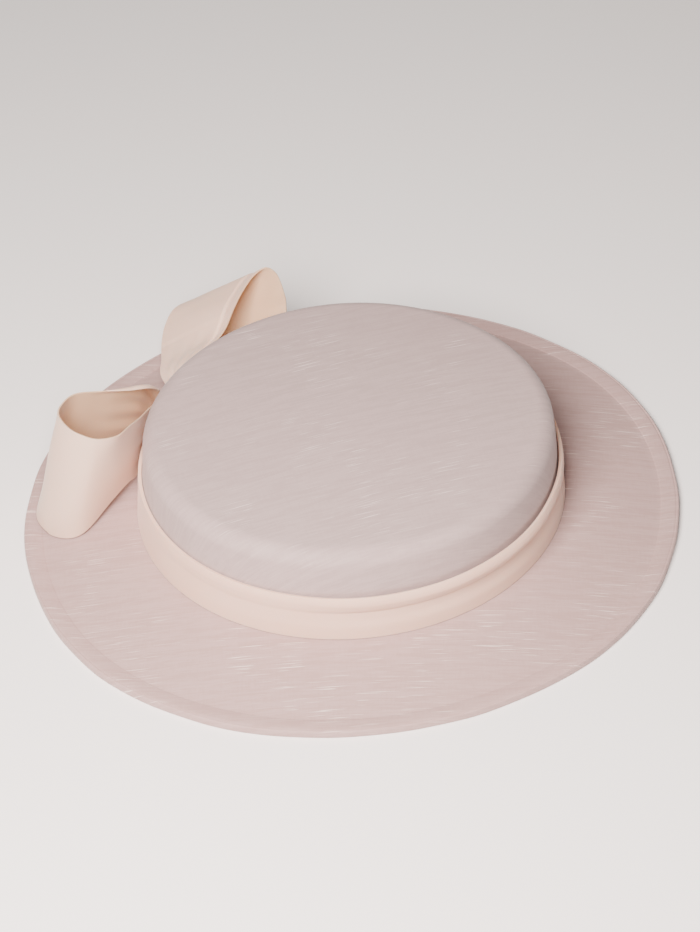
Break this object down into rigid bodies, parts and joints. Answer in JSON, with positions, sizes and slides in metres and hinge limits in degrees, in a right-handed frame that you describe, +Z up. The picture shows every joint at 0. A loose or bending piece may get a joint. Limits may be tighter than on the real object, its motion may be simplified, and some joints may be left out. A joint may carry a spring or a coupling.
{
  "type": "fascinator hat",
  "caption": "Low-crowned oval fascinator hat of slubbed cloth with a bound brim, a satin hat band and a looped satin bow at its side.",
  "frame": {"origin": "centre of the brim's outline on the surface that the hat stands on", "axes": "+Z up through the crown, +Y along the brim's longer way, the bow on the -X side"},
  "size_m": [0.286, 0.2963, 0.0573],
  "materials": {
    "crown_cloth": "slubbed matt weave",
    "brim_cloth": "slubbed matt weave",
    "edge_cloth": "slubbed matt weave",
    "band_satin": "soft satin",
    "bow_satin": "soft satin"
  },
  "bodies": {
    "root": {"crown": "crown_cloth", "brim": "brim_cloth", "edge_binding": "edge_cloth", "hat_band": "band_satin", "bow_loop_front": "bow_satin", "bow_loop_back": "bow_satin", "bow_knot": "bow_satin"}
  },
  "joints": []
}
